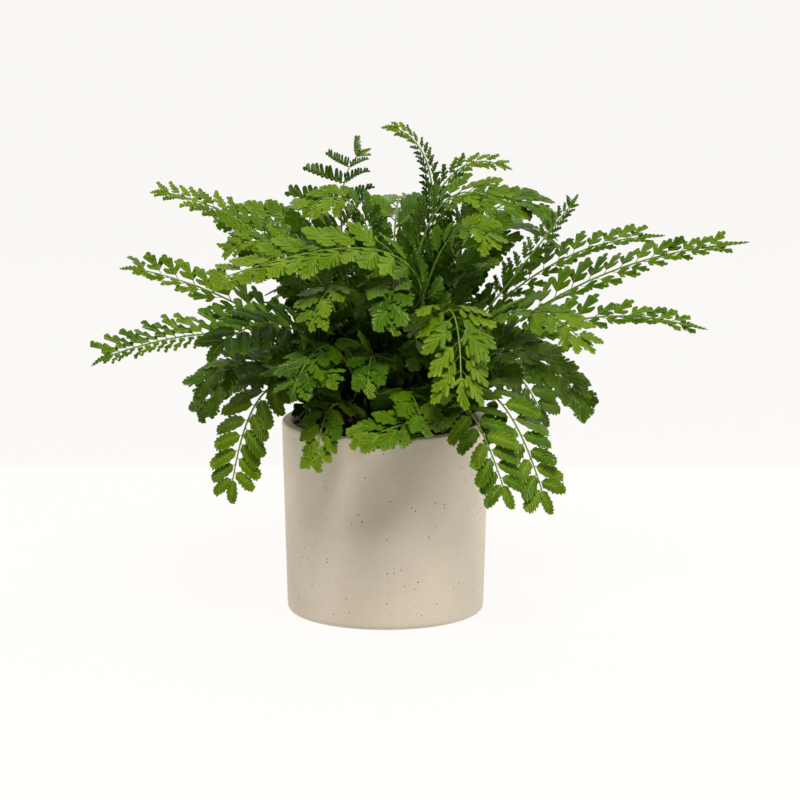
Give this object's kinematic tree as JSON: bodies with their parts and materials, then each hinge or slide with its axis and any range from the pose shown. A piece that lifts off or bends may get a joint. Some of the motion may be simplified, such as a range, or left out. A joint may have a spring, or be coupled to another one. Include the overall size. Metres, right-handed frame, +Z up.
{
  "type": "potted asplenium",
  "caption": "House plant: a spreading rosette of arching, finely divided fern fronds, rooted in potting mix in a plain, slightly tapered round concrete pot.",
  "frame": {"origin": "centre of the pot's flat underside, on the surface that it stands on", "axes": "+Z up along the pot's axis, -Y towards the front of the plant, +X to the right of the front view, along the plant's widest spread"},
  "size_m": [0.4404, 0.3067, 0.3303],
  "materials": {
    "concrete": "matt warm grey cast concrete, finely speckled, with small pits",
    "potting_mix": "dark reddish-brown coir and bark crumbs, loose and matt",
    "rootstock": "scaly dark brown fibre",
    "frond": "soft leaf gloss, yellow-green on young blades and deep green inside, pale green ribs"
  },
  "bodies": {
    "root": {"pot": "concrete", "potting_mix": "potting_mix", "crown": "rootstock", "frond_01": "frond", "frond_02": "frond", "frond_03": "frond", "frond_04": "frond", "frond_05": "frond", "frond_06": "frond", "frond_07": "frond", "frond_08": "frond", "frond_09": "frond", "frond_10": "frond", "frond_11": "frond", "frond_12": "frond", "frond_13": "frond", "frond_14": "frond", "frond_15": "frond", "frond_16": "frond", "frond_17": "frond", "frond_18": "frond", "frond_19": "frond", "frond_20": "frond", "frond_21": "frond", "frond_22": "frond", "frond_23": "frond", "frond_24": "frond", "frond_25": "frond", "frond_26": "frond", "frond_27": "frond", "frond_28": "frond", "frond_29": "frond", "frond_30": "frond", "frond_31": "frond", "frond_32": "frond", "frond_33": "frond", "frond_34": "frond", "frond_35": "frond", "frond_36": "frond", "frond_37": "frond", "frond_38": "frond", "frond_39": "frond", "frond_40": "frond", "frond_41": "frond", "frond_42": "frond", "frond_43": "frond", "frond_44": "frond", "frond_45": "frond", "frond_46": "frond", "frond_47": "frond", "frond_48": "frond"}
  },
  "joints": []
}
